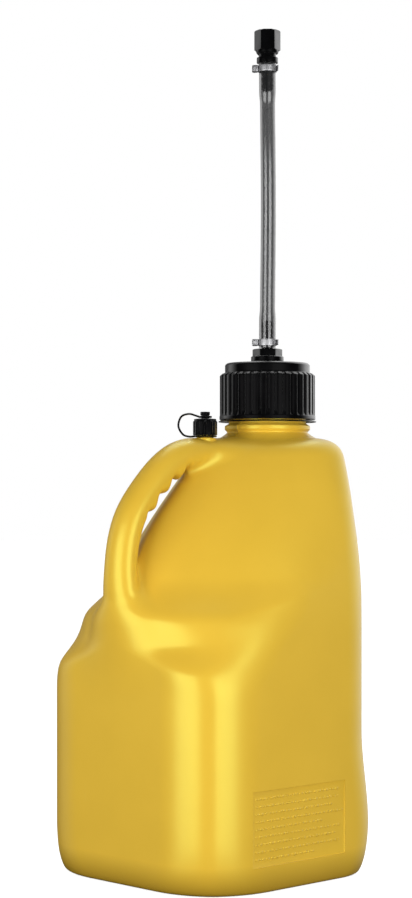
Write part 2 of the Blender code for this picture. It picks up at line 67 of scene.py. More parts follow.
# Jug body
HALF_SIDE = 133 * MM
WALL = 3 * MM
SHOULDER_TOP = 454 * MM
WAIST_Z = 277 * MM
SIDE_LEAN = math.radians(10.7)
FRONT_LEAN = math.radians(1)
CORNER_LEAN = math.radians(7.7)
CORNER_PIVOT_Z = 318 * MM
FRONT_CORNER = 156.4 * MM
FOOT_FLARE = 7.3 * MM
SLOPE_BACK = 0.632
SLOPE_SIDE = 0.501
SLOPE_UP = 0.591
SLOPE_REACH = 267.8 * MM
RIDGE_PINCH = 6 * MM
RIDGE_ROUND = 14 * MM
RIDGE_WIDTH = 13 * MM
CORNER_ROUND = 16 * MM
BACK_CORNER_ROUND = 28 * MM
LEDGE_ROUND = 52 * MM
LEDGE_EDGE_ROUND = 14 * MM
HEAD_ROUND = 60 * MM
EDGE_ROUND = 5 * MM
CROWN_ROUND = 22 * MM

# The cut-off back corners: at each height, where their flat starts on the back face (its y)
# and ends on the side face (its -x)
LEDGE_ROWS = [
    (200, 101.3, 101.3), (211, 101.3, 96), (221, 97, 87), (230, 87, 79), (238, 76, 73),
    (248, 69, 64), (262, 68, 51), (273, 66, 41), (282, 48, 30), (295, 42, 26),
]
LEDGE_BLUR = 6 * MM

# Handle: its middle line's x and z, half its thickness and half its width
HANDLE_ROWS = [
    (18, 431, 15, 26), (-12, 437, 14.5, 19), (-43, 434.5, 15.5, 18.5), (-69, 421, 15.5, 18.5),
    (-95, 397, 15, 18.5), (-114, 373, 14.5, 18.5), (-124, 347, 14.5, 18.5), (-128, 318, 14.5, 19),
    (-127, 292, 15, 22), (-122, 268, 14.5, 27), (-115, 240, 13, 31), (-108, 215, 10, 33),
]
FINGER_MIDDLE = (-67.5 * MM, 394.3 * MM)
FINGER_PITCH = 27 * MM
FINGER_DEPTH = 3.6 * MM

# Neck, its screw thread and the vent's neck
NECK_X = 83 * MM
NECK_BORE = 38.5 * MM
NECK_RADIUS = 43 * MM
NECK_TOP = 526 * MM
THREAD_PITCH = 6 * MM
VENT_X = -10 * MM
VENT_BORE = 4.5 * MM
VENT_PITCH = 3 * MM
EYE_X = 17 * MM

# Side panel
PANEL_X = (-72 * MM, 61 * MM)
PANEL_Z = (26.5 * MM, 101.5 * MM)
PANEL_DEPTH = 1.1 * MM
PANEL_ROWS = 9

# Screw cap
CAP_RIBS = 36
CAP_RIB_RADIUS = 51.4 * MM
CAP_GROOVE_RADIUS = 49.8 * MM

# Hose, fittings and clamps
STEM_BORE = 4.2 * MM
BARB_RADIUS = 6.6 * MM
BARB_ROOT = 5.5 * MM
BARB_PITCH = 7 * MM
HOSE_BOTTOM = 551 * MM
HOSE_TOP = 857.5 * MM
HOSE_RADIUS = 8.25 * MM
HOSE_BORE = 5.9 * MM
HOSE_END_RADIUS = 9.1 * MM
HOSE_END_BORE = 6.9 * MM
HOSE_GRIP = 36 * MM
HOSE_BOW = 1.1 * MM
HOSE_BOW_WAY = (0.72, -0.69)
CLAMP_WIDTH = 7 * MM
CLAMP_SIDE = math.radians(136)
LOWER_CLAMP_Z = 557 * MM
UPPER_CLAMP_Z = 852 * MM
SCREW_OUT = 13.6 * MM
HEX_TURN = math.radians(16)

# Camera
CAMERA_PLACE = (-1.503, -1.556, 0.398)
CAMERA_AIM = (0.695, 0.719, 0)
CAMERA_LENS = 82.6
CAMERA_SHIFT = (-0.0075, 0.0457)


# ---- mesh tools

def object_of(name, mesh):
    made = bpy.data.objects.new(name, mesh)
    bpy.context.scene.collection.objects.link(made)
    return made


def object_from(name, bm):
    bmesh.ops.recalc_face_normals(bm, faces=bm.faces)
    mesh = bpy.data.meshes.new(name)
    bm.to_mesh(mesh)
    bm.free()
    return object_of(name, mesh)


def grid_of_rings(bm, rings, closed=False):
    """Joins rings of points, each with the same count, into one skin."""
    made = [[bm.verts.new(point) for point in ring] for ring in rings]
    count = len(made[0])
    pairs = list(zip(made, made[1:] + made[:1])) if closed else list(zip(made, made[1:]))
    for low, high in pairs:
        for i in range(count):
            j = (i + 1) % count
            bm.faces.new((low[i], low[j], high[j], high[i]))
    if not closed:
        bm.faces.new(made[0][::-1])
        bm.faces.new(made[-1])


def filleted(profile, radius, closed=False, steps=4):
    """The outline with each corner rounded; a third value in a row is that corner's own radius."""
    points = [Vector(p[:2]) for p in profile]
    sizes = [p[2] if len(p) > 2 else radius for p in profile]
    count = len(points)
    made = []
    for i, point in enumerate(points):
        if not closed and i in (0, count - 1):
            made.append(tuple(point))
            continue
        before = points[i - 1] - point
        after = points[(i + 1) % count] - point
        room = 0.45 * min(before.length, after.length)
        half = before.angle(after, math.pi) / 2
        if half > math.radians(86) or sizes[i] <= 0:
            made.append(tuple(point))
            continue
        cut = min(sizes[i] / math.tan(half), room)
        start = point + before.normalized() * cut
        end = point + after.normalized() * cut
        for k in range(steps + 1):
            t = k / steps
            bend = (1 - t)**2 * start + 2 * t * (1 - t) * point + t**2 * end
            made.append(tuple(bend))
    return made


def in_mm(*rows):
    """Rows of millimetres, in metres."""
    return [tuple(value * MM for value in row) for row in rows]


def lathe(name, profile, centre_x, segments=96, radius_at=None, ring=True):
    """Turns a profile of (radius, height) about a vertical axis.

    A ring's profile is a closed loop round its wall. A solid's profile runs from its
    bottom face to its top face.
    """
    bm = bmesh.new()
    rings = []
    for radius, height in profile:
        points = []
        for i in range(segments):
            angle = 2 * math.pi * i / segments
            r = radius_at(radius, height, angle) if radius_at else radius
            points.append((centre_x + r * math.cos(angle), r * math.sin(angle), height))
        rings.append(points)
    grid_of_rings(bm, rings, closed=ring)
    return object_from(name, bm)


def turned_ring(name, rows, fillet, centre_x, segments):
    """A small ring, from its section's rows of (radius, height) in millimetres."""
    section = filleted(in_mm(*rows), fillet, closed=True, steps=3)
    return lathe(name, section, centre_x, segments)


def plug(name, radius, low, high, centre_x, segments):
    """A plain upright cylinder."""
    return lathe(name, [(radius, low), (radius, high)], centre_x, segments, ring=False)


def hexagon(name, across_corners, low, high, chamfer):
    """A hexagonal nut body on the neck's axis, with its end corners turned off."""
    bm = bmesh.new()
    rings = []
    for height in (low, high):
        ring = []
        for i in range(6):
            angle = HEX_TURN + math.pi * i / 3
            r = across_corners / 2
            ring.append((NECK_X + r * math.cos(angle), r * math.sin(angle), height))
        rings.append(ring)
    grid_of_rings(bm, rings)
    upright = [edge for edge in bm.edges if abs(edge.verts[0].co.z - edge.verts[1].co.z) > MM]
    bmesh.ops.bevel(bm, geom=upright, offset=0.6 * MM, segments=3, profile=0.5, affect="EDGES")
    nut = object_from(name, bm)
    flat = across_corners / 2 * math.cos(math.pi / 6)
    outer = across_corners / 2 + chamfer
    profile = filleted([
        (flat - chamfer, low - chamfer * 0.1), (flat + chamfer * 0.2, low - chamfer * 0.1),
        (outer, low + chamfer * 1.1), (outer, high - chamfer * 1.1),
        (flat + chamfer * 0.2, high + chamfer * 0.1), (flat - chamfer, high + chamfer * 0.1)], 0.4 * MM)
    turned = lathe(name + "_turned", profile, NECK_X, 96, ring=False)
    return solid_op(nut, turned, "INTERSECT")


def block(name, size, place, turn=0.0, bevel=0.3 * MM):
    bm = bmesh.new()
    bmesh.ops.create_cube(bm, size=1)
    bmesh.ops.scale(bm, vec=size, verts=bm.verts)
    bmesh.ops.bevel(bm, geom=bm.edges[:], offset=bevel, segments=3, profile=0.5, affect="EDGES")
    matrix = Matrix.Translation(place) @ Matrix.Rotation(turn, 4, "Z")
    bmesh.ops.transform(bm, matrix=matrix, verts=bm.verts)
    return object_from(name, bm)


def rod(name, radius, start, end, sides=32, bevel=0.0):
    bm = bmesh.new()
    along = Vector(end) - Vector(start)
    turn = along.to_track_quat("Z", "Y").to_matrix().to_4x4()
    middle = Matrix.Translation((Vector(start) + Vector(end)) / 2)
    bmesh.ops.create_cone(
        bm, cap_ends=True, segments=sides, radius1=radius, radius2=radius, depth=along.length,
        matrix=middle @ turn)
    if bevel:
        rims = [edge for edge in bm.edges if len(edge.link_faces) == 2
                and any(len(face.verts) == sides for face in edge.link_faces)]
        bmesh.ops.bevel(bm, geom=rims, offset=bevel, segments=2, profile=0.5, affect="EDGES")
    return object_from(name, bm)


def helix(name, inner, outer, low, high, pitch, centre_x, root, crest, segments=72):
    """A screw thread's ridge: its section is wide at radius inner and narrow at radius outer."""
    bm = bmesh.new()
    steps = round((high - low) / pitch * segments)
    fade_steps = segments / 6
    rings = []
    for i in range(steps + 1):
        angle = 2 * math.pi * i / segments
        height = low + pitch * i / segments
        fade = min(1, 0.1 + i / fade_steps, 0.1 + (steps - i) / fade_steps)
        tip = inner + (outer - inner) * fade
        near = inner + (outer - inner) * fade * 0.8
        ring = []
        for r, z in ((inner, -root), (near, -crest * 1.3), (tip, -crest * 0.6), (tip, crest * 0.6),
                     (near, crest * 1.3), (inner, root)):
            ring.append((centre_x + r * math.cos(angle), r * math.sin(angle), height + z))
        rings.append(ring)
    grid_of_rings(bm, rings)
    return object_from(name, bm)


def sweep(name, path, section):
    """A section of (out, across) points carried along a path in the upright plane at CLAMP_SIDE."""
    bm = bmesh.new()
    rows = [Vector(row) for row in path]
    across = Vector((-math.sin(CLAMP_SIDE), math.cos(CLAMP_SIDE), 0))
    rings = []
    for i, row in enumerate(rows):
        along = rows[min(i + 1, len(rows) - 1)] - rows[max(i - 1, 0)]
        out = along.cross(across).normalized()
        rings.append([row + out * a + across * b for a, b in section])
    grid_of_rings(bm, rings)
    return object_from(name, bm)


def smooth_path(points, steps):
    """A Catmull-Rom curve through the points, as rows of numpy values."""
    rows = np.array(points, float)
    rows = np.vstack([2 * rows[0] - rows[1], rows, 2 * rows[-1] - rows[-2]])
    path = []
    for i in range(1, len(rows) - 2):
        for j in range(steps):
            t = j / steps
            a, b, c, d = rows[i - 1:i + 3]
            path.append(0.5 * (2 * b + (c - a) * t + (2 * a - 5 * b + 4 * c - d) * t**2
                               + (3 * b - a - 3 * c + d) * t**3))
    path.append(rows[-2])
    return np.array(path)


def solid_op(target, other, operation):
    """Joins, cuts or intersects two closed solids for good, and removes the second."""
    step = target.modifiers.new(operation.lower(), "BOOLEAN")
    step.operation = operation
    step.solver = "MANIFOLD"
    step.object = other
    settle(target)
    bpy.data.objects.remove(other, do_unlink=True)
    return target


def settle(obj):
    """Applies the object's modifiers."""
    view = bpy.context.evaluated_depsgraph_get()
    view.update()
    mesh = bpy.data.meshes.new_from_object(obj.evaluated_get(view))
    obj.modifiers.clear()
    obj.data = mesh


def join_all(target, *others):
    for other in others:
        solid_op(target, other, "UNION")
    return target


def cut_all(target, *others):
    for other in others:
        solid_op(target, other, "DIFFERENCE")
    return target


def finish_piece(obj, finish, body, nodes=(), sharp=40):
    """Gives a piece its material, its shading and its body, and hides the CAD nodes it stands for."""
    obj.data.materials.clear()
    obj.data.materials.append(finish)
    obj.data.shade_smooth()
    obj.data.set_sharp_from_angle(angle=math.radians(sharp))
    if nodes:
        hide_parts(*nodes)
    if body:
        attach(obj, body)
    return obj


# ---- the moulded body's field

def smooth_max(a, b, width):
    """The larger of two fields, with the edge between them rounded over a width."""
    over = np.maximum(width - np.abs(a - b), 0) / width
    return np.maximum(a, b) + over**2 * width / 4


def smooth_min(a, b, width):
    return -smooth_max(-a, -b, width)


def ease(value, low, high):
    t = np.clip((value - low) / (high - low), 0, 1)
    return t * t * (3 - 2 * t)


def ledge_ends():
    """The ledge's rows as fine tables, with their bends softened."""
    rows = np.array(LEDGE_ROWS) * MM
    heights = np.arange(-20, 500) * MM
    spread = np.linspace(-2 * LEDGE_BLUR, 2 * LEDGE_BLUR, 9)
    weights = 1 - np.abs(spread) / (2.5 * LEDGE_BLUR)
    ends = []
    for column in (1, 2):
        shifted = [w * np.interp(heights + d, rows[:, 0], rows[:, column]) for d, w in zip(spread, weights)]
        ends.append(sum(shifted) / weights.sum())
    return heights, ends[0], ends[1]


LEDGE_TABLE = ledge_ends()


def corner_cut(x, side, z):
    """The flat that cuts off a back corner: a slanted face that steps in at the ledge."""
    on_back = np.interp(z, LEDGE_TABLE[0], LEDGE_TABLE[1])
    on_side = np.interp(z, LEDGE_TABLE[0], LEDGE_TABLE[2])
    across, along = HALF_SIDE - on_back, HALF_SIDE - on_side
    return (along * (side - on_back) - across * (x + HALF_SIDE)) / np.hypot(across, along)


def base_curve(z, inset, height):
    """How far a wall curves in towards the ground."""
    down = np.clip(1 - z / height, 0, 1)
    return inset * (1 - np.sqrt(1 - down**2))


def skin_field(x, y, z):
    """Below zero inside the jug's body, without its neck and handle, and zero on its skin."""
    side = np.abs(y)
    upright = side - HALF_SIDE
    leaning = (side - HALF_SIDE) * math.cos(SIDE_LEAN) + (z - WAIST_Z) * math.sin(SIDE_LEAN)
    sides = smooth_max(upright, leaning, EDGE_ROUND) + base_curve(z, 3.5 * MM, 28 * MM)
    front = (x - HALF_SIDE) * math.cos(FRONT_LEAN) + base_curve(z, 5 * MM, 22 * MM)
    front = front + np.maximum(z - WAIST_Z, 0) * math.sin(FRONT_LEAN)
    back = -x - HALF_SIDE + base_curve(z, 7.5 * MM, 28 * MM)
    corner_foot = base_curve(z, 14.5 * MM, 55 * MM)
    flare = FOOT_FLARE * (1 - ease(z, 50 * MM, 150 * MM)) - corner_foot
    corner = (x + side) * math.sqrt(0.5) - FRONT_CORNER
    corner_lean = corner * math.cos(CORNER_LEAN) + (z - CORNER_PIVOT_Z) * math.sin(CORNER_LEAN)
    front_corner = smooth_max(corner, corner_lean, EDGE_ROUND) - flare
    round_side = np.sqrt(side**2 + RIDGE_ROUND**2) - RIDGE_ROUND
    pinch = RIDGE_PINCH * ease(z, 265 * MM, 330 * MM) * (1 - np.exp(-round_side / RIDGE_WIDTH))
    slope = SLOPE_BACK * -x + SLOPE_SIDE * round_side + pinch + SLOPE_UP * z - SLOPE_REACH
    field = smooth_max(sides, front_corner, CORNER_ROUND)
    field = smooth_max(field, front, CORNER_ROUND)
    field = smooth_max(field, corner_cut(x, side, z) + corner_foot, BACK_CORNER_ROUND)
    back_round = BACK_CORNER_ROUND + (LEDGE_ROUND - BACK_CORNER_ROUND) * ease(z, 215 * MM, 245 * MM)
    field = smooth_max(field, back, back_round)
    slope_round = LEDGE_EDGE_ROUND + (HEAD_ROUND - LEDGE_EDGE_ROUND) * ease(z, 266 * MM, 310 * MM)
    field = smooth_max(field, slope, slope_round)
    field = smooth_max(field, z - SHOULDER_TOP, CROWN_ROUND)
    return smooth_max(field, -z, 3 * MM)


def handle_spans():
    """The handle's middle line as short spans, and how far along it the finger grip's middle is."""
    path = smooth_path(np.array(HANDLE_ROWS) * MM, 4)
    steps = np.linalg.norm(np.diff(path[:, :2], axis=0), axis=1)
    run = np.concatenate([[0], np.cumsum(steps)])
    gap = np.hypot(path[:, 0] - FINGER_MIDDLE[0], path[:, 1] - FINGER_MIDDLE[1])
    return path, run, run[np.argmin(gap)]


HANDLE_PATH, HANDLE_RUN, FINGER_RUN = handle_spans()


def handle_field(x, y, z):
    """Below zero inside the handle: an oval section along its middle line, rippled for fingers."""
    nearest = np.full(np.shape(x), 1.0)
    thick = np.full(np.shape(x), 15 * MM)
    wide = np.full(np.shape(x), 19 * MM)
    run = np.zeros(np.shape(x))
    offset = np.zeros(np.shape(x))
    for first, last, start in zip(HANDLE_PATH, HANDLE_PATH[1:], HANDLE_RUN):
        dx, dz = last[0] - first[0], last[1] - first[1]
        length = math.hypot(dx, dz)
        t = np.clip(((x - first[0]) * dx + (z - first[1]) * dz) / length**2, 0, 1)
        gap_x = x - first[0] - t * dx
        gap_z = z - first[1] - t * dz
        gap = np.hypot(gap_x, gap_z)
        closer = gap < nearest
        nearest = np.where(closer, gap, nearest)
        thick = np.where(closer, first[2] + t * (last[2] - first[2]), thick)
        wide = np.where(closer, first[3] + t * (last[3] - first[3]), wide)
        run = np.where(closer, start + t * length, run)
        offset = np.where(closer, (gap_z * dx - gap_x * dz) / length, offset)
    inner = ease(offset, 2 * MM, 9 * MM)
    along = run - FINGER_RUN
    shown = 1 - ease(np.abs(along), 1.5 * FINGER_PITCH, 1.9 * FINGER_PITCH)
    thick = thick + inner * shown * FINGER_DEPTH * np.cos(2 * math.pi * along / FINGER_PITCH)
    q = np.sqrt((nearest / thick)**2 + (y / wide)**2) + 1e-9
    slope = np.sqrt(nearest**2 / thick**4 + y**2 / wide**4) + 1e-9
    return q * (q - 1) / slope


def flare_field(x, y, z):
    """The cone that the neck rises from."""
    radius = np.interp(z, np.array((440, 447, 452, 455, 458, 462)) * MM,
                       np.array((54, 51.5, 50.3, 48.3, 45, 41)) * MM)
    return np.maximum(np.hypot(x - NECK_X, y) - radius, z - 460 * MM)


def body_field(x, y, z):
    """The whole moulded body: skin, handle and neck flare."""
    x, y, z = np.broadcast_arrays(x, y, z)
    field = np.array(skin_field(x, y, z))
    near = (x < 50 * MM) & (z > 180 * MM) & (np.abs(y) < 70 * MM)
    grip = handle_field(x[near], y[near], z[near])
    foot = 1 - ease(z[near], 262 * MM, 305 * MM)
    field[near] = smooth_min(field[near], grip, 12 * MM + 16 * MM * foot)
    near = (z > 430 * MM) & (z < 465 * MM) & (x > 20 * MM)
    field[near] = smooth_min(field[near], flare_field(x[near], y[near], z[near]), 7 * MM)
    return field


def hollow_field(x, y, z):
    return body_field(x, y, z) + WALL


# ---- a mesh from a field

def crossed_cells(inside):
    """Numbers the grid's cells that the surface passes through."""
    total = np.zeros(np.array(inside.shape) - 1, np.int8)
    for i in (0, 1):
        for j in (0, 1):
            for k in (0, 1):
                total += inside[i:inside.shape[0] - 1 + i, j:inside.shape[1] - 1 + j,
                                k:inside.shape[2] - 1 + k]
    crossed = (total > 0) & (total < 8)
    number = np.full(crossed.shape, -1)
    number[crossed] = np.arange(crossed.sum())
    return crossed, number


def cell_quads(inside, number):
    """One quad round each grid edge that the surface crosses."""
    quads = []
    for axis in range(3):
        low = np.moveaxis(inside, axis, 0)[:-1]
        high = np.moveaxis(inside, axis, 0)[1:]
        cells = np.moveaxis(number, axis, 0)
        a, b, c = np.nonzero((low != high)[:, 1:-1, 1:-1])
        b, c = b + 1, c + 1
        corners = [cells[a, b - 1, c - 1], cells[a, b, c - 1], cells[a, b, c], cells[a, b - 1, c]]
        quad = np.stack(corners, axis=1)
        outward = low[a, b, c]
        if axis == 1:
            outward = ~outward
        quad[~outward] = quad[~outward][:, ::-1]
        quads.append(quad)
    return np.concatenate(quads)


def pull_to_surface(field, points, rounds):
    """Moves points along the field's slope until they lie on its surface."""
    reach = 0.05 * MM
    for _ in range(rounds):
        x, y, z = points.T
        value = field(x, y, z)
        slope = np.stack([
            field(x + reach, y, z) - field(x - reach, y, z),
            field(x, y + reach, z) - field(x, y - reach, z),
            field(x, y, z + reach) - field(x, y, z - reach)], axis=1) / (2 * reach)
        steep = np.maximum((slope**2).sum(1), 0.05)
        move = slope * (value / steep)[:, None]
        size = np.linalg.norm(move, axis=1)
        move *= np.minimum(1, 1.5 * MM / np.maximum(size, 1e-9))[:, None]
        points = points - move
    return points


def relax(points, quads, rounds, field):
    """Evens out the mesh along the surface."""
    ends = np.concatenate([quads[:, [0, 1]], quads[:, [1, 2]], quads[:, [2, 3]], quads[:, [3, 0]]])
    count = np.bincount(ends.ravel(), minlength=len(points))
    for _ in range(rounds):
        middle = np.zeros_like(points)
        for i in range(3):
            middle[:, i] = (np.bincount(ends[:, 0], points[ends[:, 1], i], len(points))
                            + np.bincount(ends[:, 1], points[ends[:, 0], i], len(points)))
        middle /= np.maximum(count, 1)[:, None]
        points = pull_to_surface(field, points + 0.6 * (middle - points), 1)
    return points


def surface_of(name, field, low, high, step):
    """A closed mesh of quads on the field's zero surface."""
    x, y, z = [np.arange(a, b + step, step) for a, b in zip(low, high)]
    values = field(x[:, None, None], y[None, :, None], z[None, None, :])
    inside = values < 0
    crossed, number = crossed_cells(inside)
    place = np.argwhere(crossed)
    points = np.stack([x[place[:, 0]], y[place[:, 1]], z[place[:, 2]]], axis=1) + step / 2
    quads = cell_quads(inside, number)
    points = pull_to_surface(field, points, 3)
    points = relax(points, quads, 4, field)
    points = pull_to_surface(field, points, 2)
    mesh = bpy.data.meshes.new(name)
    mesh.vertices.add(len(points))
    mesh.vertices.foreach_set("co", points.astype(np.float32).ravel())
    mesh.loops.add(quads.size)
    mesh.loops.foreach_set("vertex_index", quads.astype(np.int32).ravel())
    mesh.polygons.add(len(quads))
    mesh.polygons.foreach_set("loop_start", np.arange(0, quads.size, 4, dtype=np.int32))
    mesh.update(calc_edges=True)
    mesh.validate()
    return object_of(name, mesh)


# ---- materials

def new_material(name):
    made = bpy.data.materials.new(name)
    made.use_nodes = True
    tree = made.node_tree
    return made, tree, tree.nodes["Principled BSDF"]


def node(tree, kind, **values):
    made = tree.nodes.new("ShaderNode" + kind)
    for key, value in values.items():
        setattr(made, key, value)
    return made


def drive(shader, name, value):
    """Sets a shader's input to a plain value, or links another node's output to it."""
    if isinstance(value, bpy.types.NodeSocket):
        shader.id_data.links.new(value, shader.inputs[name])
    else:
        shader.inputs[name].default_value = value


def noise(tree, where, scale, detail=3.0, rough=0.5, stretch=None):
    """A noise texture in the piece's own metres; stretch scales it along each axis."""
    source = where
    if stretch:
        mapping = node(tree, "Mapping")
        mapping.inputs["Scale"].default_value = stretch
        tree.links.new(where, mapping.inputs["Vector"])
        source = mapping.outputs["Vector"]
    made = node(tree, "TexNoise")
    for name, value in (("Scale", scale), ("Detail", detail), ("Roughness", rough)):
        made.inputs[name].default_value = value
    tree.links.new(source, made.inputs["Vector"])
    return made.outputs["Fac"]


def ranged(tree, value, low, high, start=0.0, end=1.0):
    """The value carried from low..high to start..end."""
    made = node(tree, "MapRange")
    for name, number in (("From Min", low), ("From Max", high), ("To Min", start), ("To Max", end)):
        made.inputs[name].default_value = number
    tree.links.new(value, made.inputs["Value"])
    return made.outputs["Result"]


def mixed(tree, share, first, second):
    """Two colours, or colour outputs, mixed by a share."""
    made = node(tree, "Mix", data_type="RGBA")
    tree.links.new(share, made.inputs["Factor"])
    for socket, value in ((made.inputs[6], first), (made.inputs[7], second)):
        if isinstance(value, tuple):
            socket.default_value = value
        else:
            tree.links.new(value, socket)
    return made.outputs[2]


def bumped(tree, shader, layers):
    """Stacks bump layers of (height output, strength, distance)."""
    last = None
    for height, strength, distance in layers:
        made = node(tree, "Bump")
        made.inputs["Strength"].default_value = strength
        made.inputs["Distance"].default_value = distance
        tree.links.new(height, made.inputs["Height"])
        if last:
            tree.links.new(last, made.inputs["Normal"])
        last = made.outputs["Normal"]
    drive(shader, "Normal", last)


def coordinates(tree):
    return node(tree, "TexCoord").outputs["Object"]


def height_of(tree, where):
    """The upright part of a direction or a place."""
    made = node(tree, "SeparateXYZ")
    tree.links.new(where, made.inputs[0])
    return made.outputs["Z"]


def facing(tree):
    """Small where the surface faces the eye, and 1 where it is seen edge on."""
    made = node(tree, "LayerWeight")
    made.inputs["Blend"].default_value = 0.5
    return made.outputs["Facing"]


def dot(tree, where, direction):
    """How far a direction points along a fixed one."""
    made = node(tree, "VectorMath", operation="DOT_PRODUCT")
    made.inputs[1].default_value = direction
    tree.links.new(where, made.inputs[0])
    return made.outputs["Value"]


def combined(tree, operation, first, second):
    """Two values joined by one of the maths node's operations."""
    made = node(tree, "Math", operation=operation)
    tree.links.new(first, made.inputs[0])
    tree.links.new(second, made.inputs[1])
    return made.outputs[0]


def yellow_polyethylene():
    """Satin blow-moulded polyethylene: even yellow, faint cloudiness, orange peel and scuffs, with painted
    shade darkening it towards the ground.
    """
    made, tree, shader = new_material("yellow_polyethylene")
    where = coordinates(tree)
    cloud = ranged(tree, noise(tree, where, 14, 4), 0.35, 0.65)
    fine = ranged(tree, noise(tree, where, 260, 3), 0.3, 0.7)
    colour = mixed(tree, cloud, (0.79, 0.490, 0.044, 1), (0.82, 0.510, 0.047, 1))
    scuff = ranged(tree, noise(tree, where, 90, 6, 0.7, (1, 1, 0.15)), 0.62, 0.75)
    colour = mixed(tree, ranged(tree, scuff, 0, 1, 0, 0.12), colour, (0.85, 0.58, 0.10, 1))
    # Painted shade: the colour darkens over the lowest 30 mm towards the ground, standing in for the shade
    # under the base.
    painted_base_shade = ranged(tree, height_of(tree, where), 0, 30 * MM, 0.75, 0)
    colour = mixed(tree, painted_base_shade, colour, (0.30, 0.17, 0.012, 1))
    drive(shader, "Base Color", colour)
    drive(shader, "Roughness", ranged(tree, fine, 0, 1, 0.30, 0.34))
    drive(shader, "Specular IOR Level", 1.0)
    drive(shader, "Specular Tint", (0.70, 1.0, 0.24, 1))
    peel = noise(tree, where, 420, 2)
    wave = noise(tree, where, 22, 2)
    bumped(tree, shader, [(wave, 0.25, 0.4 * MM), (peel, 0.06, 0.06 * MM)])
    return made


def black_nylon():
    """Semi-gloss moulded nylon with a fine grain and slightly greyed wear."""
    made, tree, shader = new_material("black_nylon")
    where = coordinates(tree)
    cloud = ranged(tree, noise(tree, where, 60, 5, 0.6), 0.35, 0.7)
    colour = mixed(tree, cloud, (0.0020, 0.0020, 0.0022, 1), (0.0040, 0.0040, 0.0045, 1))
    drive(shader, "Base Color", colour)
    grain = noise(tree, where, 1500, 2)
    drive(shader, "Roughness", ranged(tree, cloud, 0, 1, 0.26, 0.36))
    shine = ranged(tree, facing(tree), 0.3, 0.55, 0.015, 0.9)
    drive(shader, "Specular IOR Level", shine)
    drive(shader, "IOR", 1.8)
    bumped(tree, shader, [(grain, 0.15, 0.05 * MM), (noise(tree, where, 120, 2), 0.15, 0.15 * MM)])
    return made


def black_rubber():
    """Matt rubber with a mottled, slightly dusty surface."""
    made, tree, shader = new_material("black_rubber")
    where = coordinates(tree)
    dust = ranged(tree, noise(tree, where, 200, 5, 0.65), 0.45, 0.75)
    colour = mixed(tree, dust, (0.012, 0.012, 0.012, 1), (0.03, 0.03, 0.03, 1))
    drive(shader, "Base Color", colour)
    drive(shader, "Roughness", ranged(tree, dust, 0, 1, 0.6, 0.8))
    bumped(tree, shader, [(noise(tree, where, 2500, 2), 0.3, 0.05 * MM)])
    return made


def zinc_steel():
    """Zinc-plated strip steel with rolling marks and a few duller spots."""
    made, tree, shader = new_material("zinc_steel")
    where = coordinates(tree)
    lines = noise(tree, where, 300, 4, 0.6, (1, 1, 14))
    spots = ranged(tree, noise(tree, where, 350, 4, 0.6), 0.5, 0.7)
    colour = mixed(tree, spots, (0.48, 0.48, 0.49, 1), (0.34, 0.34, 0.36, 1))
    drive(shader, "Base Color", colour)
    drive(shader, "Metallic", 1)
    drive(shader, "Roughness", ranged(tree, lines, 0.3, 0.7, 0.42, 0.58))
    bumped(tree, shader, [(lines, 0.15, 0.05 * MM)])
    return made


def clear_vinyl():
    """Clear flexible tube: see-through in the middle, smoky where it is seen edge on."""
    made, tree, shader = new_material("clear_vinyl")
    where = coordinates(tree)
    haze = ranged(tree, noise(tree, where, 80, 3, 0.5, (1, 1, 0.2)), 0.3, 0.7)
    colour = mixed(tree, haze, (0.018, 0.018, 0.019, 1), (0.026, 0.027, 0.028, 1))
    drive(shader, "Base Color", colour)
    drive(shader, "Alpha", ranged(tree, facing(tree), 0.2, 0.95, 0.50, 0.56))
    drive(shader, "Specular IOR Level", 1.0)
    drive(shader, "Coat Weight", 1.0)
    drive(shader, "Coat Roughness", 0.07)
    drive(shader, "Roughness", ranged(tree, haze, 0, 1, 0.10, 0.16))
    bumped(tree, shader, [(noise(tree, where, 25, 2, 0.5, (1, 1, 0.3)), 0.2, 0.2 * MM)])
    return made


# ---- jug

def moulded_body():
    margin = 6 * MM
    low = (-HALF_SIDE - 2 * margin, -HALF_SIDE - margin, -margin)
    high = (HALF_SIDE + margin, HALF_SIDE + margin, 466 * MM)
    return surface_of("jug_body", body_field, low, high, SKIN_STEP)


def jug_hollow():
    """The inside of the wall. The grid starts short of the handle's hollow, so it is left open."""
    low = (-HALF_SIDE - 5 * MM, -HALF_SIDE, -5 * MM)
    high = (HALF_SIDE, HALF_SIDE, 466 * MM)
    return surface_of("jug_hollow", hollow_field, low, high, HOLLOW_STEP)


def neck():
    """The neck's crisp upper part: bead, thread and lip."""
    rows = in_mm(
        (30, 441), (43.6, 441), (43.6, 460.6, 2), (46, 463, 1.2), (46, 466.8, 1.2),
        (41.6, 469.4, 1), (41.6, 474, 1))
    rows += [
        (NECK_RADIUS, 476 * MM, 1 * MM), (NECK_RADIUS, 515 * MM), (42 * MM, 516.5 * MM),
        (42 * MM, NECK_TOP, 0.8 * MM), (30 * MM, NECK_TOP)]
    solid = lathe("neck_shape", filleted(rows, 0.6 * MM), NECK_X, 144, ring=False)
    ridge = helix(
        "neck_thread", NECK_RADIUS - 0.6 * MM, NECK_RADIUS + 2.6 * MM, 482 * MM, 497 * MM,
        THREAD_PITCH, NECK_X, 1.9 * MM, 0.8 * MM, 144)
    return join_all(solid, ridge)


def vent_neck():
    profile = filleted(in_mm(
        (5, 436), (11.5, 436), (11.5, 452.3, 0.8), (8.6, 452.9), (7.6, 455), (7.6, 470), (5, 470)),
        0.5 * MM)
    solid = lathe("vent_neck_shape", profile, VENT_X, 72, ring=False)
    ridge = helix(
        "vent_thread", 7.1 * MM, 8.7 * MM, 457.5 * MM, 462.5 * MM, VENT_PITCH, VENT_X,
        0.9 * MM, 0.4 * MM, 48)
    return join_all(solid, ridge)


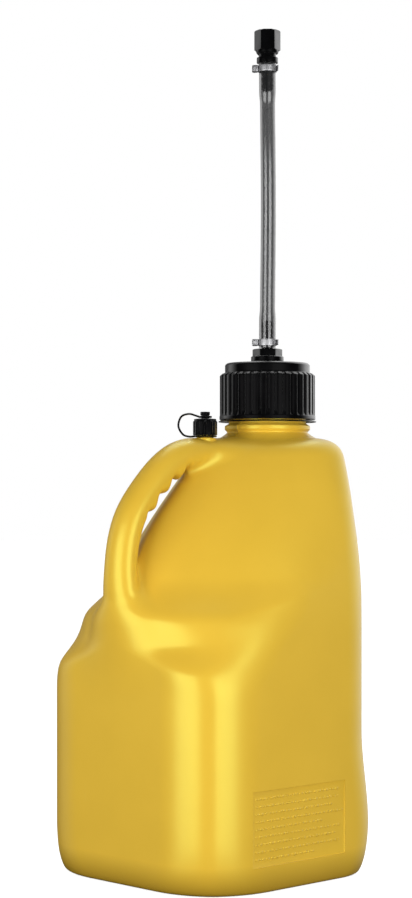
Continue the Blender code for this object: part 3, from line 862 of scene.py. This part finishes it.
def panel_recess():
    size = (PANEL_X[1] - PANEL_X[0], 6 * MM, PANEL_Z[1] - PANEL_Z[0])
    place = (sum(PANEL_X) / 2, -HALF_SIDE - 3 * MM + PANEL_DEPTH, sum(PANEL_Z) / 2)
    return block("panel_recess", size, place, bevel=0.5 * MM)


def panel_dashes():
    """Rows of small raised dashes that fill the side panel."""
    bm = bmesh.new()
    row_gap = (PANEL_Z[1] - PANEL_Z[0] - 8 * MM) / PANEL_ROWS
    shares = (0.93, 0.96, 0.86, 0.98, 0.74, 0.97, 0.9, 0.95, 0.68)
    face = -HALF_SIDE + PANEL_DEPTH
    for row in range(PANEL_ROWS):
        height = PANEL_Z[1] - 4 * MM - (row + 0.5) * row_gap
        x = PANEL_X[0] + 4 * MM
        end = x + (PANEL_X[1] - PANEL_X[0] - 8 * MM) * shares[row]
        index = row * 3
        while x < end:
            length = (2.4 + (index * 7 % 5) * 0.8) * MM
            rise = (1.7 + (index * 5 % 3) * 0.4) * MM
            place = Matrix.Translation((x + length / 2, face, height))
            made = bmesh.ops.create_cube(bm, size=1, matrix=place @ Matrix.Diagonal(
                (length, 0.6 * MM, rise, 1)))
            edges = list({edge for vert in made["verts"] for edge in vert.link_edges})
            bmesh.ops.bevel(bm, geom=edges, offset=0.2 * MM, segments=1, affect="EDGES")
            x += length + (1.0 + (index % 4 == 3) * 1.2) * MM
            index += 1
    return object_from("panel_dashes", bm)


def raise_seam(obj):
    """The mould's parting line: a fine ridge all round the body on its middle plane."""
    bm = bmesh.new()
    bm.from_mesh(obj.data)
    half, rise = 0.6 * MM, 0.3 * MM
    for place in (-half, -half / 2, half / 2, half):
        bmesh.ops.bisect_plane(
            bm, geom=bm.verts[:] + bm.edges[:] + bm.faces[:], dist=1e-6,
            plane_co=(0, place, 0), plane_no=(0, 1, 0))
    bm.normal_update()
    for vert in bm.verts:
        depth = max(0.0, 1 - abs(vert.co.y) / half)
        if depth > 0.01 and vert.co.z > SHOULDER_TOP - 6 * MM:
            flat = Vector((vert.normal.x, 0, vert.normal.z))
            vert.co += flat * rise * min(1, depth * 2)
    bm.to_mesh(obj.data)
    bm.free()


def jug(finish):
    """The whole jug. It comes out solid: the hollow's mesh isn't closed where its grid cuts off the handle
    at -X, so Blender skips the last three Booleans.
    """
    body = moulded_body()
    cut_all(body, panel_recess())
    join_all(body, panel_dashes())
    join_all(body, neck(), vent_neck())
    raise_seam(body)
    mouth = filleted([
        (20 * MM, 430 * MM), (NECK_BORE, 430 * MM), (NECK_BORE, 525.4 * MM),
        (NECK_BORE + 1.2 * MM, 527 * MM), (20 * MM, 527 * MM)], 0.3 * MM)
    bore = lathe("neck_bore", mouth, NECK_X, 144, ring=False)
    vent_bore = plug("vent_bore", VENT_BORE, 428 * MM, 474 * MM, VENT_X, 48)
    hollow = jug_hollow()
    join_all(hollow, bore, vent_bore)
    cut_all(body, hollow)
    return finish_piece(body, finish, "jug", ["container_body"], 50)


def retaining_ring(finish):
    """The loose ring under the cap: a thin hoop on spokes, with an eye towards the vent."""
    hoop = turned_ring(
        "retaining_hoop", [(51.3, 470.9), (52.6, 470.9), (52.6, 472.2), (51.3, 472.2)],
        0.4 * MM, NECK_X, 144)
    inner = turned_ring(
        "retaining_inner", [(44.8, 471.2), (46.4, 471.2), (46.4, 472.6), (44.8, 472.6)],
        0.3 * MM, NECK_X, 144)
    spokes = []
    for i in range(9):
        angle = math.pi + 2 * math.pi * i / 9
        middle = 48.8 * MM
        place = (NECK_X + middle * math.cos(angle), middle * math.sin(angle), 471.9 * MM)
        spokes.append(block(f"spoke_{i}", (6.4 * MM, 1.6 * MM, 1 * MM), place, angle, 0.2 * MM))
    lug = block("retaining_lug", (14 * MM, 3.6 * MM, 1.5 * MM), (25.2 * MM, 0, 471.9 * MM), bevel=0.35 * MM)
    eye = turned_ring(
        "retaining_eye", [(1.6, 471.05), (3.4, 471.05), (3.4, 472.75), (1.6, 472.75)],
        0.35 * MM, EYE_X, 48)
    join_all(hoop, inner, *spokes, lug, eye)
    cut_all(hoop, plug("eye_hole", 1.6 * MM, 469 * MM, 475 * MM, EYE_X, 48))
    hoop.name = "ring_strap"
    return finish_piece(hoop, finish, "jug", ["retaining_ring"])


# ---- screw cap

def cap_outline():
    """The cap's wall as a closed loop of (radius, height), with its corners rounded."""
    rows = [
        (46.6, 473.6, 0.3), (51.7, 473.6, 0.6), (51.7, 477, 0.9), (51.4, 477.9, 0.4), (51.4, 520.8, 1.6),
        (48.2, 523.4, 0.8), (45.9, 523.6, 0.7), (45.7, 524.6, 0.3), (45.7, 532.4, 1.6), (43.4, 534.4, 1.4),
        (19.6, 534.4, 0.4), (19, 533.9, 0.3), (8.6, 533.9, 0.2), (8.6, 530.5, 0.3), (42.7, 530.5, 0.8),
        (42.7, 516.5, 0.8), (46.6, 515, 0.8)]
    return filleted(in_mm(*rows), 0.5 * MM, closed=True, steps=3)


def with_long_spans(outline, low, high, count):
    """Adds even rows to the outline's outer wall between two heights."""
    made = []
    for i, row in enumerate(outline):
        after = outline[(i + 1) % len(outline)]
        made.append(row)
        if row[0] > 51 * MM and after[0] > 51 * MM and row[1] < low + MM and after[1] > high - MM:
            for k in range(1, count):
                t = k / count
                made.append((row[0] + t * (after[0] - row[0]), row[1] + t * (after[1] - row[1])))
    return made


def screw_cap(finish):
    """Ribbed skirt, smooth upper band, top plate with an injection mark and a thread inside."""
    depth = CAP_RIB_RADIUS - CAP_GROOVE_RADIUS

    def ribbed(radius, height, angle):
        if radius < 47.5 * MM:
            return radius
        phase = (angle * CAP_RIBS / (2 * math.pi)) % 1
        from_middle = abs(phase - 0.5) * 2
        groove = 1 - ease(from_middle, 0.24, 0.46)
        shown = ease(height, 477.4 * MM, 479.4 * MM)
        crown = 0.22 * MM * (1 - from_middle) * (1 - groove)
        return radius - shown * (depth * groove + crown)

    outline = with_long_spans(cap_outline(), 480 * MM, 519 * MM, 12)
    cap = lathe("cap_shell", outline, NECK_X, CAP_RIBS * 16, ribbed)
    ridge = helix(
        "cap_thread", 47.2 * MM, 44 * MM, 485 * MM, 497 * MM, THREAD_PITCH, NECK_X, 1.6 * MM, 0.8 * MM)
    join_all(cap, ridge)
    return finish_piece(cap, finish, "cap_assembly", ["screw_cap"], 45)


# ---- hose and fittings

def barbs(start, count, upwards=True):
    """The saw-tooth outline of a hose barb, from its root end to its free end."""
    way = 1 if upwards else -1
    outline = []
    for i in range(count):
        foot = start + way * i * BARB_PITCH
        outline += [(BARB_ROOT, foot), (BARB_RADIUS, foot + way * 1 * MM)]
        outline += [(BARB_RADIUS, foot + way * 1.6 * MM), (BARB_ROOT, foot + way * 6 * MM)]
    return outline


def adapter(finish):
    """The fitting through the cap's top: stem, flange, hexagon and hose barb, with one bore."""
    barb = barbs(552 * MM, 4)
    tip = barb[-1][1] + 1.5 * MM
    rows = in_mm(
        (8, 521, 0.4), (8, 536.2, 0.2), (17.6, 536.2, 0.6), (17.6, 541.3, 0.7), (16.4, 542.2, 0.4),
        (8.6, 542.2, 0.3), (8.6, 549.6, 0.4), (6, 550.4, 0.4))
    rows += [(r, z, 0.25 * MM) for r, z in barb]
    rows += [(STEM_BORE + 0.6 * MM, tip, 0.3 * MM), (STEM_BORE, tip, 0.2 * MM)]
    rows += [(STEM_BORE, 521 * MM, 0.3 * MM)]
    fitting = lathe("adapter_body", filleted(rows, 0.3 * MM, closed=True, steps=3), NECK_X, 96)
    nut = hexagon("adapter_nut", 32.4 * MM, 541 * MM, 549.8 * MM, 1.1 * MM)
    core = plug("adapter_core", 7 * MM, 530 * MM, 555 * MM, NECK_X, 64)
    cut_all(nut, core)
    join_all(fitting, nut)
    return finish_piece(fitting, finish, "cap_assembly", ["hose_adapter"])


def tip_fitting(finish):
    """Barb, collar and threaded spout at the hose's free end, with one bore."""
    barb = barbs(856.5 * MM, 4, upwards=False)[::-1]
    end = barb[0][1] - 1.5 * MM
    rows = [(STEM_BORE, end, 0.2 * MM), (STEM_BORE + 0.6 * MM, end, 0.3 * MM)]
    rows += [(r, z, 0.25 * MM) for r, z in barb]
    rows += in_mm(
        (5.5, 858, 0.2), (11.5, 858, 0.5), (11.5, 863.6, 0.5), (9.4, 864.4, 0.4), (9.4, 884.4, 0.4),
        (8.6, 885.2, 0.3), (4.2, 885.2, 0.3))
    fitting = lathe("tip_fitting", filleted(rows, 0.3 * MM, closed=True, steps=3), NECK_X, 96)
    ridge = helix(
        "tip_thread", 9 * MM, 10.5 * MM, 866.5 * MM, 879 * MM, VENT_PITCH, NECK_X,
        0.9 * MM, 0.4 * MM)
    join_all(fitting, ridge)
    return finish_piece(fitting, finish, "hose_end", ["hose_tip_fitting"])


def end_cap(finish):
    """Hexagonal cap nut, turned to a cone under the hexagon, with a thread inside."""
    cap = hexagon("end_cap_nut", 28.6 * MM, 871.4 * MM, 892.6 * MM, 1.8 * MM)
    profile = in_mm((8, 868.3), (11.5, 868.3), (12.3, 870.4), (12.3, 873), (8, 873))
    skirt = lathe("end_cap_skirt", filleted(profile, 0.4 * MM), NECK_X, 96, ring=False)
    hole = plug("end_cap_hole", 10.9 * MM, 860 * MM, 888 * MM, NECK_X, 96)
    ridge = helix(
        "end_cap_thread", 11.3 * MM, 9.9 * MM, 874.5 * MM, 880.5 * MM, VENT_PITCH, NECK_X,
        0.8 * MM, 0.4 * MM)
    join_all(cap, skirt)
    cut_all(cap, hole)
    join_all(cap, ridge)
    return finish_piece(cap, finish, "end_cap", ["hose_end_cap"], 25)


def hose_radius(z, end, middle):
    """The hose is stretched over the barbs at both ends."""
    near = min(z - HOSE_BOTTOM, HOSE_TOP - z)
    wide = 1 - ease(near, HOSE_GRIP - 6 * MM, HOSE_GRIP + 8 * MM)
    return middle + (end - middle) * wide


def hose_bow(z):
    """The hose's middle stands slightly off the straight line between its ends."""
    share = (z - HOSE_BOTTOM) / (HOSE_TOP - HOSE_BOTTOM)
    return math.sin(math.pi * share)**2


def clear_hose(finish):
    rows = 110
    heights = [HOSE_BOTTOM + (HOSE_TOP - HOSE_BOTTOM) * i / rows for i in range(rows + 1)]

    def ring(z, radius):
        offset = HOSE_BOW * hose_bow(z)
        cx, cy = NECK_X + HOSE_BOW_WAY[0] * offset, HOSE_BOW_WAY[1] * offset
        angles = [2 * math.pi * i / 64 for i in range(64)]
        return [(cx + radius * math.cos(a), cy + radius * math.sin(a), z) for a in angles]

    outside = [ring(z, hose_radius(z, HOSE_END_RADIUS, HOSE_RADIUS)) for z in heights]
    inside = [ring(z, hose_radius(z, HOSE_END_BORE, HOSE_BORE)) for z in reversed(heights)]
    bm = bmesh.new()
    grid_of_rings(bm, outside + inside, closed=True)
    hose = object_from("clear_hose", bm)
    finish_piece(hose, finish, None, ["hose"])
    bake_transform(hose)
    return hose


# ---- worm-drive hose clamps

def clamp_place(height, out, along=0.0):
    """A point at a distance out from the hose's axis on the screw's side, and along the screw."""
    c, s = math.cos(CLAMP_SIDE), math.sin(CLAMP_SIDE)
    return (NECK_X + out * c - along * s, out * s + along * c, height)


def screw_rod(name, height, radius, start, end, sides, bevel=0.0):
    """A rod on the worm screw's axis."""
    ends = [clamp_place(height, SCREW_OUT, along) for along in (start, end)]
    return rod(name, radius, *ends, sides, bevel)


def clamp_band(name, height, finish, body, cad_node):
    """The band, with its worm slots pressed into it and its free tail."""
    half = CLAMP_WIDTH / 2
    outline = filleted([
        (9.4 * MM, height - half), (10.1 * MM, height - half), (10.1 * MM, height + half),
        (9.4 * MM, height + half)], 0.2 * MM, closed=True, steps=2)
    band = lathe(name, outline, NECK_X, 96)
    tail = block(
        name + "_tail", (8 * MM, 0.7 * MM, CLAMP_WIDTH - 1 * MM), clamp_place(height, -10.6 * MM, 3.7 * MM),
        CLAMP_SIDE + math.radians(102), 0.2 * MM)
    join_all(band, tail)
    for i in range(12):
        angle = CLAMP_SIDE + math.radians(40) + i * math.radians(11)
        r = 10.3 * MM
        slot = block(
            f"{name}_slot_{i}", (0.8 * MM, 0.9 * MM, 3.8 * MM),
            (NECK_X + r * math.cos(angle), r * math.sin(angle), height), angle, 0.15 * MM)
        cut_all(band, slot)
    return finish_piece(band, finish, body, [cad_node])


def clamp_housing(name, height, finish, body, cad_node):
    """The saddle that holds the worm screw against the band."""
    saddle = block(name, (6.6 * MM, 8 * MM, 7.4 * MM), clamp_place(height, 13.2 * MM), CLAMP_SIDE, 1.3 * MM)
    band_room = plug(
        name + "_band_room", 10.45 * MM, height - 9 * MM, height + 9 * MM, NECK_X, 96)
    screw_room = screw_rod(name + "_screw_room", height, 2.5 * MM, -12 * MM, 12 * MM, 48)
    cut_all(saddle, band_room, screw_room)
    return finish_piece(saddle, finish, body, [cad_node])


def clamp_screw(name, height, finish, body, cad_node):
    """Worm screw with a slotted hexagonal head, turning in the housing."""
    screw = screw_rod(name, height, 1.7 * MM, -5.6 * MM, 5 * MM, 32)
    for i in range(6):
        middle = -3.6 * MM + i * 1.5 * MM
        collar = screw_rod(
            f"{name}_turn_{i}", height, 2.15 * MM, middle - 0.4 * MM, middle + 0.4 * MM, 32, 0.25 * MM)
        join_all(screw, collar)
    head = screw_rod(name + "_head", height, 3.1 * MM, -8 * MM, -4.6 * MM, 6, 0.3 * MM)
    slot = block(
        name + "_slot", (0.9 * MM, 2 * MM, 8 * MM), clamp_place(height, SCREW_OUT, -8 * MM),
        CLAMP_SIDE, 0.1 * MM)
    join_all(screw, head)
    cut_all(screw, slot)
    return finish_piece(screw, finish, body, [cad_node], 35)


# ---- vent

def vent_lid(finish):
    """Small ribbed screw cap with side tabs and a knob that carries the tether."""
    def ribbed(radius, height, angle):
        if radius < 12.2 * MM or height > 470.1 * MM:
            return radius
        phase = (angle * 14 / (2 * math.pi)) % 1
        groove = 1 - ease(abs(phase - 0.5) * 2, 0.2, 0.5)
        return radius - 0.6 * MM * groove * ease(height, 456.4 * MM, 457.4 * MM)

    rows = in_mm(
        (9.3, 455.4, 0.2), (12.7, 455.4, 0.4), (12.7, 460, 0), (12.7, 469.5, 0.5), (11.6, 470.7, 0.4),
        (11.6, 472.3, 0.5), (4, 473.1, 0.4), (4, 475.9, 0.3), (5, 476.5, 0.4), (5, 479.8, 0.6),
        (1.4, 480, 0.1), (0.6, 480, 0), (0.6, 471.1, 0), (9.3, 471.1, 0.3))
    cap = lathe("vent_lid", filleted(rows, 0.3 * MM, closed=True, steps=3), VENT_X, 14 * 12, ribbed)
    ridge = helix(
        "vent_lid_thread", 9.7 * MM, 8.1 * MM, 459 * MM, 463.5 * MM, VENT_PITCH, VENT_X,
        0.8 * MM, 0.4 * MM, 48)
    tabs = block(
        "vent_lid_tabs", (3 * MM, 28.6 * MM, 4 * MM), (VENT_X, 0, 468 * MM), math.radians(-44), 0.5 * MM)
    core = plug("vent_lid_core", 11 * MM, 455 * MM, 474 * MM, VENT_X, 64)
    cut_all(tabs, core)
    join_all(cap, ridge, tabs)
    return finish_piece(cap, finish, "vent_lid", ["vent_cap"])


def tether(finish):
    """Strap that ties the vent cap to its neck: a ring at each end and a loop between."""
    lower = turned_ring(
        "tether_lower", [(9.7, 453.3), (12.2, 453.3), (12.2, 455), (9.7, 455)], 0.4 * MM, VENT_X, 72)
    upper = turned_ring(
        "tether_upper", [(4.5, 473.5), (7, 473.5), (7, 475.5), (4.5, 475.5)], 0.4 * MM, VENT_X, 64)
    rows = [(11, 454.2), (17, 454), (23.5, 456.5), (28, 465)]
    rows += [(25, 474.7), (17, 477.7), (10, 476), (5.7, 474.5)]
    path = smooth_path(np.array(rows) * MM, 8)
    c, s = math.cos(CLAMP_SIDE), math.sin(CLAMP_SIDE)
    points = [(VENT_X + out * c, out * s, z) for out, z in path]
    section = [(1.1 * MM * math.cos(a), 1.9 * MM * math.sin(a))
               for a in np.linspace(0, 2 * math.pi, 16, endpoint=False)]
    strap = sweep("tether_strap", points, section)
    join_all(lower, upper, strap)
    lower.name = "tether"
    finish_piece(lower, finish, None, ["vent_tether"])
    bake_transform(lower)
    return lower


# ---- studio

def world():
    """White behind the jug, mostly to its right and far left, and dim on the camera's side."""
    made = bpy.data.worlds.new("studio")
    bpy.context.scene.world = made
    made.use_nodes = True
    tree = made.node_tree
    background = tree.nodes["Background"]
    where = node(tree, "TexCoord").outputs["Generated"]
    away = dot(tree, where, CAMERA_AIM)
    aside = dot(tree, where, (CAMERA_AIM[1], -CAMERA_AIM[0], 0))
    behind = ranged(tree, away, 0.0, 0.6, 0.10, 1.0)
    rightward = ranged(tree, aside, -0.25, 0.30, 0.15, 1.5)
    leftmost = ranged(tree, aside, -0.85, -0.70, 0.9, 0.0)
    up = ranged(tree, height_of(tree, where), -0.35, 0.05, 0.05, 1.0)
    rims = combined(tree, "ADD", rightward, leftmost)
    share = combined(tree, "MULTIPLY", combined(tree, "MULTIPLY", behind, rims), up)
    camera_ray = node(tree, "LightPath").outputs["Is Camera Ray"]
    tree.links.new(combined(tree, "MAXIMUM", camera_ray, share), background.inputs["Strength"])
    background.inputs["Color"].default_value = (1, 1, 1, 1)


def look(made, place, direction):
    """Puts a lamp or a camera in its place, looking in a direction."""
    made.location = place
    made.rotation_mode = "QUATERNION"
    made.rotation_quaternion = direction.to_track_quat("-Z", "Y")


def softbox(name, place, aim, size, power):
    light = bpy.data.lights.new(name, "AREA")
    light.shape = "RECTANGLE"
    light.size, light.size_y = size
    light.energy = power
    light.spread = math.pi
    made = object_of(name, light)
    look(made, place, Vector(aim) - Vector(place))


def lights():
    """Two tall strips either side of the camera, and a bank overhead."""
    view = math.atan2(-CAMERA_AIM[1], -CAMERA_AIM[0])
    for name, turn, power in (("left_strip", -43, 13.0), ("right_strip", 31, 13.2)):
        angle = view + math.radians(turn)
        place = (1.3 * math.cos(angle), 1.3 * math.sin(angle), 0.38)
        softbox(name, place, (0, 0, 0.38), (0.86, 1.20), power)
    softbox("top_bank", (0.5, 0.5, 1.7), (0, 0, 0.30), (0.9, 0.9), 5.5)


def floor():
    """A plain pale floor that only the camera sees, so that the jug stays lit as if on a sweep."""
    bm = bmesh.new()
    bmesh.ops.create_circle(bm, cap_ends=True, radius=14, segments=96)
    made = object_from("floor", bm)
    made.location.z = -0.0005
    finish, tree, shader = new_material("pale_floor")
    cloud = noise(tree, coordinates(tree), 3, 3)
    drive(shader, "Base Color", ranged(tree, cloud, 0, 1, 0.86, 0.90))
    drive(shader, "Roughness", 0.9)
    drive(shader, "Emission Color", (1, 1, 1, 1))
    drive(shader, "Emission Strength", 0.8)
    made.data.materials.append(finish)
    made.visible_diffuse = False
    made.visible_glossy = False
    made.visible_transmission = False
    made.visible_shadow = False


def camera():
    made = object_of("camera", bpy.data.cameras.new("camera"))
    made.data.lens = CAMERA_LENS
    made.data.sensor_width = 36
    made.data.shift_x, made.data.shift_y = CAMERA_SHIFT
    look(made, CAMERA_PLACE, Vector(CAMERA_AIM))
    bpy.context.scene.camera = made


# ---- assembly

def dress_cad_nodes(nodes, finishes):
    """The sealed-in parts keep their CAD shapes and get the finished materials."""
    for name, slot in (
            ("cap_gasket", "black_rubber"), ("adapter_gasket", "black_rubber"),
            ("end_cap_seal", "black_rubber"), ("vent_cap_gasket", "black_rubber"),
            ("adapter_lock_nut", "black_nylon")):
        nodes[name].data.materials.clear()
        nodes[name].data.materials.append(finishes[slot])


def build(frame):
    yellow, black = yellow_polyethylene(), black_nylon()
    steel, vinyl = zinc_steel(), clear_vinyl()
    dress_cad_nodes(frame["nodes"], {"black_rubber": black_rubber(), "black_nylon": black})
    jug(yellow)
    retaining_ring(black)
    screw_cap(black)
    adapter(black)
    clear_hose(vinyl)
    tip_fitting(black)
    end_cap(black)
    for end, height, body, turning in (
            ("lower", LOWER_CLAMP_Z, "cap_assembly", "lower_screw"),
            ("upper", UPPER_CLAMP_Z, "hose_end", "upper_screw")):
        clamp_band(end + "_band", height, steel, body, end + "_clamp_band")
        clamp_housing(end + "_saddle", height, steel, body, end + "_clamp_housing")
        clamp_screw(end + "_worm", height, steel, turning, end + "_clamp_screw")
    vent_lid(black)
    tether(black)


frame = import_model()
build(frame)
world()
lights()
floor()
camera()
bpy.context.scene.view_settings.view_transform = "Standard"
